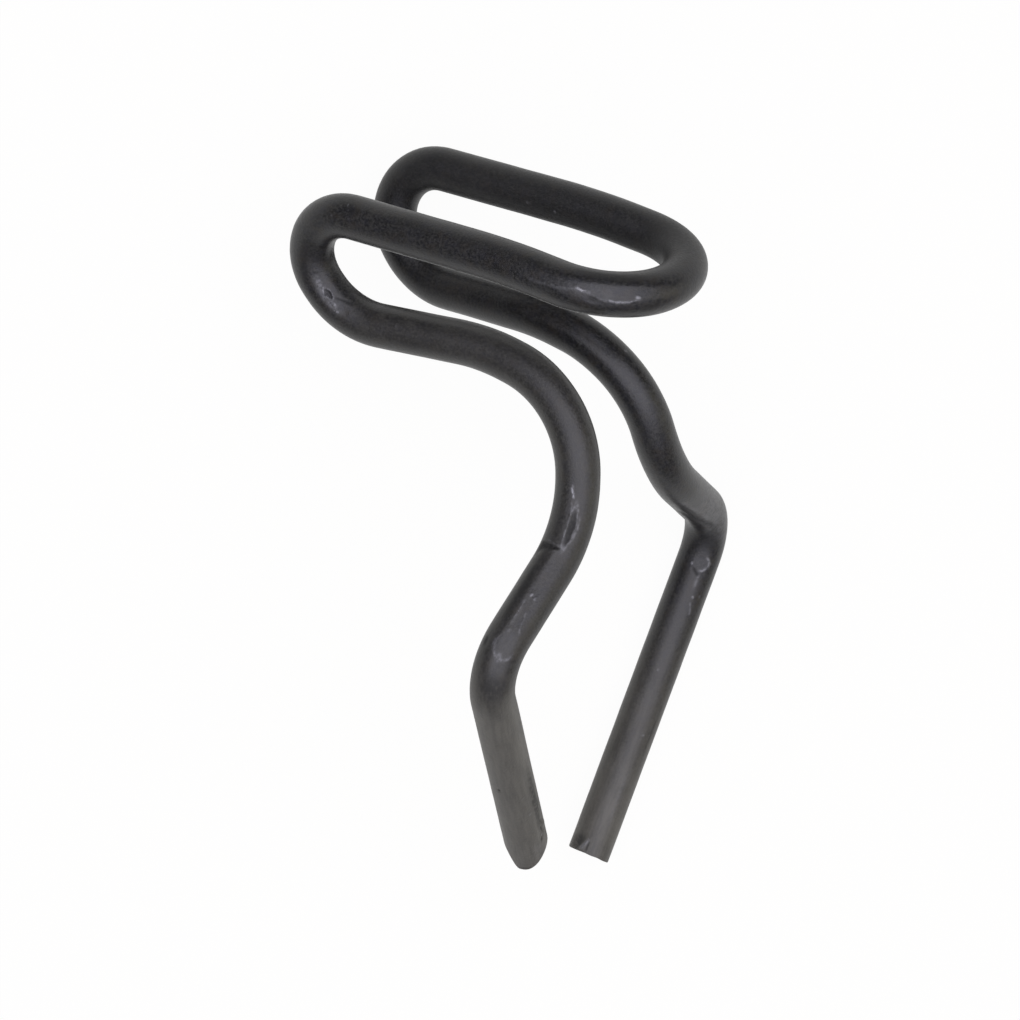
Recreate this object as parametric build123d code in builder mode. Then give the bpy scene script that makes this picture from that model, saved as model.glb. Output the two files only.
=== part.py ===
from build123d import *

import os
from math import atan2, cos, pi, radians, sin, tan

# Door trim panel clip: one length of round spring wire, bent into two mirrored halves.
#
# The clip is described upright, in its design frame: X runs along the head towards the nose,
# Y spreads the two halves apart, and Z points up, with the legs hanging below the head.
# The front half lies on the -Y side and the rear half on the +Y side.  The clip can't stand
# on its legs, so it is then laid down as it comes to rest, on the whole rear lower leg and
# on the rear heel.  The finished part is in that resting frame: +Z up from the floor, +Y up
# the lower leg that lies on it, and the origin on the floor, below the middle of the clip.
#
# All sizes are in millimetres.  A reach is measured along X, a spacing is the distance
# between the centrelines of the two halves, and a drop is measured down from the arms.
# They give the corners where the straight runs of the centreline would meet, and each
# radius is that of the bend in the corner, also on the centreline.

# Wire
wire_diameter = 1.6

# Head: two arms, joined at the nose by a full half-round bend
arm_spacing = 5.8
nose_reach = 6.3
nose_drop = 0.5
crown_reach = 1.25
crown_radius = 30.0

# Return: each arm turns down and back under itself, round a heel
return_reach = -9.1
return_radius = 1.95
heel_reach = -5.65
heel_spacing = 4.6
heel_drop = 4.25
heel_radius = 2.75

# Seat: the run below the arm, which bears on the door while the arm holds the board
seat_reach = -0.1
seat_spacing = 3.6
seat_drop = 4.0
seat_radius = 8.0

# Legs: down over the shoulder, out from the waist to the knee, and in again to the tips
shoulder_reach = 3.85
shoulder_spacing = 3.6
shoulder_drop = 4.8
shoulder_radius = 4.2
waist_reach = 4.75
waist_spacing = 5.9
waist_drop = 9.2
waist_radius = 5.1
knee_reach = 4.25
knee_spacing = 15.4
knee_drop = 13.05
knee_radius = 2.0

# Lower legs: they aim at these tips, and each is cut to its own length below the knee
tip_reach = 3.1
tip_spacing = 3.0
tip_drop = 25.6
front_leg_length = 10.9
rear_leg_length = 13.4

# Front end: pinched off between two jaws, one steep and one slack, that leave a blunt edge
# Each bevel's angle is told from the wire's length, so the slack jaw leaves the long bevel.
front_cut_turn = 51.0
front_bevel_long = 16.0
front_bevel_short = 45.0
front_edge_width = 0.55
front_edge_offset = 0.25
front_edge_round = 0.3

# Rear end: sheared by a round blade, which leaves it a little slanted and hollow
rear_cut_turn = -118.0
rear_cut_slant = 3.0
rear_cut_radius = 4.0

# Wire left beyond each cut, for the cutter to take away
cut_waste = 0.8
# Share of a straight run that the bends at its two ends may use up
bend_room = 0.98
# Steps along the centreline in the search for the point that the clip rests on
rest_steps = 800

wire_radius = wire_diameter / 2


def half_corners(side, leg_length):
    """Corners of one half, from the nose to the end of its leg: side is -1 or 1."""
    corners = [
        Vector(reach, side * spacing / 2, -drop)
        for reach, spacing, drop in (
            (nose_reach, arm_spacing, nose_drop),
            (crown_reach, arm_spacing, 0.0),
            (return_reach, arm_spacing, 0.0),
            (heel_reach, heel_spacing, heel_drop),
            (seat_reach, seat_spacing, seat_drop),
            (shoulder_reach, shoulder_spacing, shoulder_drop),
            (waist_reach, waist_spacing, waist_drop),
            (knee_reach, knee_spacing, knee_drop),
        )
    ]
    aim = Vector(tip_reach, side * tip_spacing / 2, -tip_drop)
    along = (aim - corners[-1]).normalized()
    return corners + [corners[-1] + along * leg_length]


def fitted_radii(corners, wanted):
    """Bend radii as wanted, eased where two bends would overrun the wire between them."""
    runs = [end - start for start, end in zip(corners, corners[1:])]
    half_turns = [tan(radians(a.get_angle(b)) / 2) for a, b in zip(runs, runs[1:])]
    taken = [0.0, *(radius * half for radius, half in zip(wanted, half_turns)), 0.0]
    for i, run in enumerate(runs):
        share = min(1.0, bend_room * run.length / (taken[i] + taken[i + 1]))
        taken[i] *= share
        taken[i + 1] *= share
    return [length / half for length, half in zip(taken[1:], half_turns)]


def end_view(knee, end, turn):
    """Side view of a cut end: its Y runs out along the leg, its Z along the cutter's edge."""
    along = (end - knee).normalized()
    square = Plane(origin=end, x_dir=(1, 0, 0), z_dir=along)
    edge = square.x_dir.rotate(Axis((0, 0, 0), along), turn)
    return Plane(origin=end, x_dir=along.cross(edge), z_dir=edge)


def resting_floor(points, knee, end, other_knee):
    """Plane of the floor below the wire, through its centreline, in the design frame.

    The clip lies on the straight lower leg from knee to end, so the floor can only swing
    about that leg, and it swings up until it meets the first point of the rest of the wire.
    """
    along = (end - knee).normalized()
    leg = Plane(origin=knee, x_dir=other_knee - knee, z_dir=along)
    seen = [leg.to_local_coords(point) for point in points]
    swing = max(atan2(p.Y, p.X) for p in seen if Vector(p.X, p.Y).length > wire_diameter)
    up = leg.x_dir * sin(swing) - leg.y_dir * cos(swing)
    return Plane(origin=knee, x_dir=up.cross(along), z_dir=up)


front = half_corners(-1, front_leg_length)
rear = half_corners(1, rear_leg_length)
half_radii = (
    arm_spacing / 2,
    crown_radius,
    return_radius,
    heel_radius,
    seat_radius,
    shoulder_radius,
    waist_radius,
    knee_radius,
)

# Centreline, from the front end over the nose to the rear end, with the waste at both
uncut_front = half_corners(-1, front_leg_length + cut_waste)
uncut_rear = half_corners(1, rear_leg_length + cut_waste)
corners = uncut_front[::-1] + uncut_rear
radii = fitted_radii(corners, half_radii[::-1] + half_radii)
with BuildLine() as centreline:
    FilletPolyline(*corners, radius=radii)
wire_path = centreline.wire()

# The wire in its design frame, bent and cut
with BuildPart() as bent_wire:
    with BuildSketch(Plane(origin=wire_path @ 0, z_dir=wire_path % 0)):
        Circle(wire_radius)
    sweep(path=wire_path)
    uncut_volume = bent_wire.part.volume

    # Front end: all that lies outside the chisel goes
    with BuildSketch(end_view(front[-2], front[-1], front_cut_turn)):
        Rectangle(2 * wire_diameter, 4 * wire_diameter)
        with BuildLine():
            left = front_edge_offset - front_edge_width / 2
            right = front_edge_offset + front_edge_width / 2
            depth = 2.5 * wire_diameter
            chisel = FilletPolyline(
                (left - depth * tan(radians(front_bevel_short)), -depth),
                (left, 0),
                (right, 0),
                (right + depth * tan(radians(front_bevel_long)), -depth),
                radius=front_edge_round,
            )
            Line(chisel @ 1, chisel @ 0)
        make_face(mode=Mode.SUBTRACT)
    extrude(amount=wire_diameter, both=True, mode=Mode.SUBTRACT)

    # Rear end: the round blade passes through the leg's centre at its full length
    with BuildSketch(end_view(rear[-2], rear[-1], rear_cut_turn)):
        slant = radians(rear_cut_slant)
        with Locations((-rear_cut_radius * sin(slant), rear_cut_radius * cos(slant))):
            Circle(rear_cut_radius)
    extrude(amount=wire_diameter, both=True, mode=Mode.SUBTRACT)

# Laid down on the floor, with the origin under the middle of its box
path_points = [wire_path.position_at(i / rest_steps) for i in range(rest_steps + 1)]
floor = resting_floor(path_points, rear[-2], rear[-1], front[-2])
laid_wire = floor.to_local_coords(bent_wire.part)
laid_box = laid_wire.bounding_box()
with BuildPart() as wire_clip:
    with Locations((-laid_box.center().X, -laid_box.center().Y, -laid_box.min.Z)):
        add(laid_wire)
wire_clip.part.label = "wire_clip"

print("bend radii", [round(radius, 2) for radius in radii])
print("uncut wire", wire_path.length, "long, volume", uncut_volume)
print("its section times its length", pi * wire_radius**2 * wire_path.length)

os.makedirs("parts", exist_ok=True)
export_step(wire_clip.part, "parts/wire_clip.step")
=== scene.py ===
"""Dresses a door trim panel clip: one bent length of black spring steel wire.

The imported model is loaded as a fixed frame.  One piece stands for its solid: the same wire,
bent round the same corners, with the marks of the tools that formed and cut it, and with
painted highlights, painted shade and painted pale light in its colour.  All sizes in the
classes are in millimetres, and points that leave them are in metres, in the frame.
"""

from __future__ import annotations

import logging
import math
from dataclasses import dataclass, field, replace
from enum import Enum
from functools import partial
from typing import Sequence

import bpy
import numpy as np
from mathutils import Matrix, Vector, noise

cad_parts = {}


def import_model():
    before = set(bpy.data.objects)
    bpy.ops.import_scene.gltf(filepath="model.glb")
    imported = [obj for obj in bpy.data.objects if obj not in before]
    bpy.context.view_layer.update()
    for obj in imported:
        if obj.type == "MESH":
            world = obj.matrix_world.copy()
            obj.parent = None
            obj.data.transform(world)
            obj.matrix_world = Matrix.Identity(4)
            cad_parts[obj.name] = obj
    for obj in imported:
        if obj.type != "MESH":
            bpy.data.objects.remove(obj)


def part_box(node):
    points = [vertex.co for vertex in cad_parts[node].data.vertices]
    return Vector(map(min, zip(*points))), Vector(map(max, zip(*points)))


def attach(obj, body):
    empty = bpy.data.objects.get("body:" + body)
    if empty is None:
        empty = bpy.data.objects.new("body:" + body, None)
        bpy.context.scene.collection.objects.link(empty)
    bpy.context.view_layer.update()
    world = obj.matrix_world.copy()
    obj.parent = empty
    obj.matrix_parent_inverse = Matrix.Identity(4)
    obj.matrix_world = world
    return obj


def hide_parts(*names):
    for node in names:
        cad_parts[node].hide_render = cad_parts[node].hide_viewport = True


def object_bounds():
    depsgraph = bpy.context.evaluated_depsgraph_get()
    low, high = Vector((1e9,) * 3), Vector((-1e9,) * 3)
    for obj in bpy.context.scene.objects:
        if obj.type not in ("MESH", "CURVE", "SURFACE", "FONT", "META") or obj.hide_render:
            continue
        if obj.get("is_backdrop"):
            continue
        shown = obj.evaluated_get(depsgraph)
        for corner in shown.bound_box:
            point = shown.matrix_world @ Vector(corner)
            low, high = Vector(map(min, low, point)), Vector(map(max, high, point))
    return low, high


log = logging.getLogger("panel_clip")

MM = 0.001
CLIP_NODE = "wire_clip"
CLIP_BODY = "root"

Array = np.ndarray


def unit(vector: Array) -> Array:
    """The vector at length one."""
    return vector / np.linalg.norm(vector)


def ease(value: Array) -> Array:
    """Smooth step of a value that is cut off at 0 and 1."""
    value = np.clip(value, 0.0, 1.0)
    return value * value * (3.0 - 2.0 * value)


def bearing(azimuth: float, elevation: float) -> Vector:
    """Unit vector towards an azimuth, told from -Y, and an elevation, both in degrees.

    Args:
        azimuth: Degrees round the upright axis.
        elevation: Degrees above the floor.

    Returns:
        The unit vector.
    """
    turn, rise = math.radians(azimuth), math.radians(elevation)
    level = math.cos(rise)
    return Vector((math.sin(turn) * level, -math.cos(turn) * level, math.sin(rise)))


class Half(Enum):
    """The two halves of the clip, valued by the side of its middle plane each lies on."""

    FRONT = -1
    REAR = 1


class Bend(Enum):
    """The bends of one half, counted from the nose to the knee."""

    NOSE = 0
    CROWN = 1
    RETURN = 2
    HEEL = 3
    SEAT = 4
    SHOULDER = 5
    WAIST = 6
    KNEE = 7


@dataclass(frozen=True)
class Corner:
    """Where two straight runs of the centreline would meet, and the bend that rounds it.

    reach is measured along the head towards the nose, spacing is the distance between the
    two halves, and drop is measured down from the arms.
    """

    reach: float
    spacing: float
    drop: float
    radius: float

    def point(self, half: Half) -> Array:
        """The corner's place on one half, in the upright clip's axes."""
        return np.array([self.reach, half.value * self.spacing / 2, -self.drop])


@dataclass(frozen=True)
class Span:
    """One stretch of the centreline: a straight run, or the arc of a bend."""

    start: float
    length: float
    origin: Array
    heading: Array
    inward: Array | None = None
    radius: float = math.inf

    def trace(self, along: Array) -> tuple[Array, Array]:
        """Points and unit tangents on the span.

        Args:
            along: Lengths measured from the span's own start.

        Returns:
            The points and the tangents, one row for each length.
        """
        along = along[:, None]
        if self.inward is None:
            return self.origin + along * self.heading, np.repeat(self.heading[None], len(along), 0)
        turn = along / self.radius
        bulge = (1 - np.cos(turn)) * self.inward + np.sin(turn) * self.heading
        tangent = np.cos(turn) * self.heading + np.sin(turn) * self.inward
        return self.origin + self.radius * bulge, tangent


@dataclass
class Route:
    """Centreline through a row of corners, each rounded by the arc of its own radius."""

    corners: list[Array]
    radii: list[float]
    spans: list[Span] = field(init=False, default_factory=list)
    middles: list[float] = field(init=False, default_factory=list)

    def __post_init__(self) -> None:
        """Lays the straight runs and the arcs one after another."""
        place, start = self.corners[0], 0.0
        for i, radius in enumerate(self.radii, 1):
            before = unit(self.corners[i] - self.corners[i - 1])
            after = unit(self.corners[i + 1] - self.corners[i])
            turn = math.acos(float(np.clip(before @ after, -1, 1)))
            tangent = radius * math.tan(turn / 2)
            run = float(np.linalg.norm(self.corners[i] - place)) - tangent
            self.spans.append(Span(start, run, place, before))
            start += run
            foot = self.corners[i] - before * tangent
            inward = unit(after - before * (after @ before))
            self.spans.append(Span(start, radius * turn, foot, before, inward, radius))
            self.middles.append(start + radius * turn / 2)
            start += radius * turn
            place = self.corners[i] + after * tangent
        last = self.corners[-1] - place
        self.spans.append(Span(start, float(np.linalg.norm(last)), place, unit(last)))

    @property
    def length(self) -> float:
        """Length of the whole centreline."""
        return self.spans[-1].start + self.spans[-1].length

    def trace(self, along: Array) -> tuple[Array, Array]:
        """Points and unit tangents on the centreline.

        Args:
            along: Lengths from the route's start; beyond its ends they run straight on.

        Returns:
            The points and the tangents, one row for each length.
        """
        starts = np.array([span.start for span in self.spans])
        owner = np.clip(np.searchsorted(starts, along, side="right") - 1, 0, len(starts) - 1)
        points, tangents = np.zeros((len(along), 3)), np.zeros((len(along), 3))
        for i, span in enumerate(self.spans):
            here = owner == i
            if here.any():
                points[here], tangents[here] = span.trace(along[here] - span.start)
        return points, tangents


@dataclass(frozen=True)
class ClipForm:
    """The sizes of the bent wire: the same ones that its solid was built from."""

    wire_diameter: float = 1.6
    crown: Corner = Corner(1.25, 5.8, 0.0, 30.0)
    nose: Corner = Corner(6.3, 5.8, 0.5, 2.9)
    turn_back: Corner = Corner(-9.1, 5.8, 0.0, 1.95)
    heel: Corner = Corner(-5.65, 4.6, 4.25, 2.75)
    seat: Corner = Corner(-0.1, 3.6, 4.0, 8.0)
    shoulder: Corner = Corner(3.85, 3.6, 4.8, 4.2)
    waist: Corner = Corner(4.75, 5.9, 9.2, 5.1)
    knee: Corner = Corner(4.25, 15.4, 13.05, 2.0)
    tip: Corner = Corner(3.1, 3.0, 25.6, 0.0)
    front_leg: float = 10.9
    rear_leg: float = 13.4
    bend_room: float = 0.98
    swing_steps: int = 800

    def bends(self) -> list[Corner]:
        """Corners of one half.

        Returns:
            The corners, in the order of Bend.
        """
        return [
            self.nose,
            self.crown,
            self.turn_back,
            self.heel,
            self.seat,
            self.shoulder,
            self.waist,
            self.knee,
        ]

    def half_points(self, half: Half) -> list[Array]:
        """Corner points of one half.

        Args:
            half: The half that is asked for.

        Returns:
            The points from the nose to the end of the half's lower leg.
        """
        points = [corner.point(half) for corner in self.bends()]
        leg = self.front_leg if half is Half.FRONT else self.rear_leg
        return points + [points[-1] + unit(self.tip.point(half) - points[-1]) * leg]

    def eased_radii(self, points: Sequence[Array], wanted: Sequence[float]) -> list[float]:
        """Bend radii as wanted, eased where two bends would overrun the run between them.

        Args:
            points: All corners of the centreline, with its two ends.
            wanted: The radius wanted in each inner corner.

        Returns:
            The radius that each inner corner gets.
        """
        runs = [after - before for before, after in zip(points, points[1:])]
        turns = [math.acos(float(unit(a) @ unit(b))) for a, b in zip(runs, runs[1:])]
        halves = [math.tan(turn / 2) for turn in turns]
        taken = [0.0, *(radius * half for radius, half in zip(wanted, halves)), 0.0]
        for i, run in enumerate(runs):
            share = min(1.0, self.bend_room * float(np.linalg.norm(run)) / (taken[i] + taken[i + 1]))
            taken[i] *= share
            taken[i + 1] *= share
        return [length / half for length, half in zip(taken[1:], halves)]

    def route(self) -> Route:
        """Centreline of the whole clip, upright.

        Returns:
            The route from the front leg's end, over the nose, to the rear leg's end.
        """
        points = self.half_points(Half.FRONT)[::-1] + self.half_points(Half.REAR)
        wanted = [corner.radius for corner in self.bends()]
        return Route(points, self.eased_radii(points, wanted[::-1] + wanted))

    def landing(self, route: Route) -> tuple[Array, Array]:
        """How the clip lies: on its whole rear lower leg, swung about it until it rests.

        Args:
            route: The centreline of the upright clip.

        Returns:
            The point that stays put, and the floor's axes as the rows of a matrix.
        """
        knee, end = self.half_points(Half.REAR)[-2:]
        along = unit(end - knee)
        across = self.knee.point(Half.FRONT) - knee
        across = unit(across - along * (across @ along))
        beside = np.cross(along, across)
        seen = route.trace(np.linspace(0, route.length, self.swing_steps + 1))[0] - knee
        level, side = seen @ across, seen @ beside
        clear = np.hypot(level, side) > self.wire_diameter
        swing = float(np.arctan2(side[clear], level[clear]).max())
        up = across * math.sin(swing) - beside * math.cos(swing)
        ahead = np.cross(up, along)
        return knee, np.array([ahead, np.cross(up, ahead), up])


@dataclass(frozen=True)
class Place:
    """A place on the wire's surface.

    beyond is the length past the middle of a bend, towards the end of that half's leg.
    around is the angle in degrees from the line that runs along the top of the head, and
    it grows towards the outside of the clip.
    """

    half: Half
    bend: Bend
    beyond: float
    around: float


@dataclass(frozen=True)
class Wire:
    """The bent centreline with a direction carried along it, from which angles are told."""

    form: ClipForm
    route: Route
    stations: Array
    points: Array
    tangents: Array
    tops: Array

    @classmethod
    def bent(cls, form: ClipForm, stations: Array) -> Wire:
        """Carries the direction of the head's top along the wire, without twisting it.

        Args:
            form: The sizes of the clip.
            stations: Lengths along the wire, in rising order.

        Returns:
            The wire with its points, tangents and top directions at the stations.
        """
        route = form.route()
        points, tangents = route.trace(stations)
        nose = (route.middles[len(Bend) - 1] + route.middles[len(Bend)]) / 2
        first = int(np.searchsorted(stations, nose))
        tops = np.zeros_like(points)
        tops[first] = unit(np.array([0, 0, 1.0]) - tangents[first] * tangents[first, 2])
        for i in range(first + 1, len(stations)):
            tops[i] = unit(tops[i - 1] - tangents[i] * (tops[i - 1] @ tangents[i]))
        for i in range(first - 1, -1, -1):
            tops[i] = unit(tops[i + 1] - tangents[i] * (tops[i + 1] @ tangents[i]))
        return cls(form, route, stations, points, tangents, tops)

    def station(self, place: Place) -> float:
        """Length along the wire at which a place lies.

        Args:
            place: A place on the wire's surface.

        Returns:
            The length from the front leg's end.
        """
        if place.half is Half.FRONT:
            return self.route.middles[len(Bend) - 1 - place.bend.value] - place.beyond
        return self.route.middles[len(Bend) + place.bend.value] + place.beyond


@dataclass(frozen=True)
class Skin:
    """The wire's surface as a grid of rings and columns, before it is marked."""

    wire: Wire
    along: Array
    around: Array
    radius: float
    ragged: Array

    def drawn(self) -> Array:
        """Each vertex on the wire as it was drawn, straight, before it was bent."""
        across = self.radius * np.stack([np.cos(self.around), np.sin(self.around)], -1)
        return np.concatenate([across, self.along[..., None]], -1)

    def about(self, place: Place, tilt: float = 0.0) -> tuple[Array, Array]:
        """Distances over the surface from a place.

        Args:
            place: Where the distances start.
            tilt: Degrees by which the first distance turns from the wire's length.

        Returns:
            The distance along the tilted direction and the one across it, at each vertex,
            both a little uneven so that no mark is a perfect figure.
        """
        along = self.along - self.wire.station(place)
        if place.half is Half.FRONT:
            along = -along
        across = self.around - math.radians(place.around)
        across = self.radius * ((across + math.pi) % (2 * math.pi) - math.pi)
        along, across = along + self.ragged[..., 0], across + self.ragged[..., 1]
        cos, sin = math.cos(math.radians(tilt)), math.sin(math.radians(tilt))
        return along * cos + across * sin, across * cos - along * sin


@dataclass(frozen=True)
class Imprint:
    """What a mark does to the skin: its relief, and where it stands proud and lies sunk."""

    raised: Array
    proud: Array
    sunk: Array


@dataclass(frozen=True)
class Mark:
    """A mark that a forming tool, or a knock, left on the wire, or a patch of painted highlight or
    shade.

    rubbed is how far the mark's proud parts are worn from the black finish down to bright
    steel, and on some marks how far they are painted lighter as a highlight; sooty is how much
    dark scale its sunken parts hold, and on some marks how much painted shade; both from 0 to 1.
    """

    place: Place
    length: float
    width: float
    depth: float = 0.0
    tilt: float = 0.0
    rubbed_and_highlight: float = 0.0
    soot_and_shade: float = 0.0

    def press(self, skin: Skin) -> Imprint:
        """Shapes the mark.

        Args:
            skin: The surface that the mark is on.

        Returns:
            What the mark does at each vertex.
        """
        raise NotImplementedError


@dataclass(frozen=True)
class Hollow(Mark):
    """A rounded hollow, a bump where its depth is negative, or where it has none a stain, painted
    highlight or painted shade.
    """

    lip: float = 0.0
    lip_reach: float = 1.12
    lip_width: float = 0.2
    bowl_depth: float = 1.35
    bowl_slope: float = 1.05

    def press(self, skin: Skin) -> Imprint:
        """Shapes a smooth bowl with an optional raised lip.

        Args:
            skin: The surface that the mark is on.

        Returns:
            What the mark does at each vertex.
        """
        u, v = skin.about(self.place, self.tilt)
        reach = np.hypot(2 * u / self.length, 2 * v / self.width)
        bowl = ease(self.bowl_depth - reach * self.bowl_slope)
        rim = np.exp(-(((reach - self.lip_reach) / self.lip_width) ** 2))
        return Imprint(self.lip * rim - self.depth * bowl, rim if self.lip else bowl, bowl)


@dataclass(frozen=True)
class Flat(Mark):
    """A flat that a tool pressed across the round of the wire; its width follows its depth."""

    softness: float = 0.016
    widest_turn: float = 1.4

    def press(self, skin: Skin) -> Imprint:
        """Cuts the round back to a level that runs out at both ends, with soft edges.

        Args:
            skin: The surface that the mark is on.

        Returns:
            What the mark does at each vertex.
        """
        u, v = skin.about(self.place, self.tilt)
        share = np.sqrt(np.clip(1 - (2 * u / self.length) ** 2, 0, None))
        level = skin.radius - self.depth * share
        turn = np.clip(v / skin.radius, -self.widest_turn, self.widest_turn)
        gone = skin.radius - level / np.cos(turn)
        gone = (gone + np.sqrt(gone**2 + (self.softness * share) ** 2)) / 2 * (share > 0)
        cover = ease(gone / self.depth)
        return Imprint(-gone, cover, cover)


@dataclass(frozen=True)
class Gouge(Mark):
    """A wedge that a tool's corner dug: steep along one edge, narrowing to a point."""

    edge: float = 0.06
    blunt: float = 0.02
    run_out: float = 0.6
    run_out_start: float = 0.2
    wide_end: float = 0.7
    wide_slope: float = 4.0

    def press(self, skin: Skin) -> Imprint:
        """Digs steeply where the tilted length starts and shallowly at its end.

        Args:
            skin: The surface that the mark is on.

        Returns:
            What the mark does at each vertex.
        """
        u, v = skin.about(self.place, self.tilt)
        reach = self.length * np.clip(0.5 - v / self.width, self.blunt, 1)
        inside = ease(u / self.edge + 0.5)
        inside = inside * ease((reach - u) / (self.run_out * reach) + self.run_out_start)
        inside = inside * ease((0.5 * self.width - v) / self.edge)
        inside = inside * ease((v / self.width + self.wide_end) * self.wide_slope)
        return Imprint(-self.depth * inside, inside, inside)


@dataclass(frozen=True)
class Crescent(Mark):
    """Part of a ring, raised or pressed in by the corner of a tool."""

    sweep: float = 150.0
    fade: float = 50.0

    def press(self, skin: Skin) -> Imprint:
        """Shapes an arc about the tilted direction, fading at its ends.

        Args:
            skin: The surface that the mark is on.

        Returns:
            What the mark does at each vertex.
        """
        u, v = skin.about(self.place, self.tilt)
        off = np.hypot(u, v) - self.length / 2
        angle = np.degrees(np.abs(np.arctan2(v, u)))
        arc = np.exp(-((2 * off / self.width) ** 2))
        arc = arc * ease((self.sweep / 2 - angle) / self.fade + 0.5)
        return Imprint(-self.depth * arc, arc, arc)


@dataclass(frozen=True)
class Ridge(Mark):
    """A narrow ridge, or a scratch where its depth is positive, along its tilted length."""

    bow: float = 0.0
    fade: float = 2.5

    def press(self, skin: Skin) -> Imprint:
        """Shapes a line with a soft section and fading ends.

        Args:
            skin: The surface that the mark is on.

        Returns:
            What the mark does at each vertex.
        """
        u, v = skin.about(self.place, self.tilt)
        t = 2 * u / self.length
        line = np.exp(-((2 * (v - self.bow * (1 - t * t)) / self.width) ** 2))
        line = line * ease(self.fade * (1 - np.abs(t)))
        return Imprint(-self.depth * line, line, line)


@dataclass(frozen=True)
class PaintedPaleness:
    """Paler grey painted over a leg, standing in for the brighter light that falls on the legs.

    full and none are lengths from the leg's end. The grey is painted in, by the amount, up to
    the first of them, and the black is whole past the second.
    """

    half: Half
    full: float
    none: float
    amount: float = 1.0

    def cover(self, skin: Skin) -> Array:
        """How grey each vertex is, from 0 to 1."""
        from_end = skin.along if self.half is Half.FRONT else skin.wire.route.length - skin.along
        return self.amount * ease((self.none - from_end) / (self.none - self.full))


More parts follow.
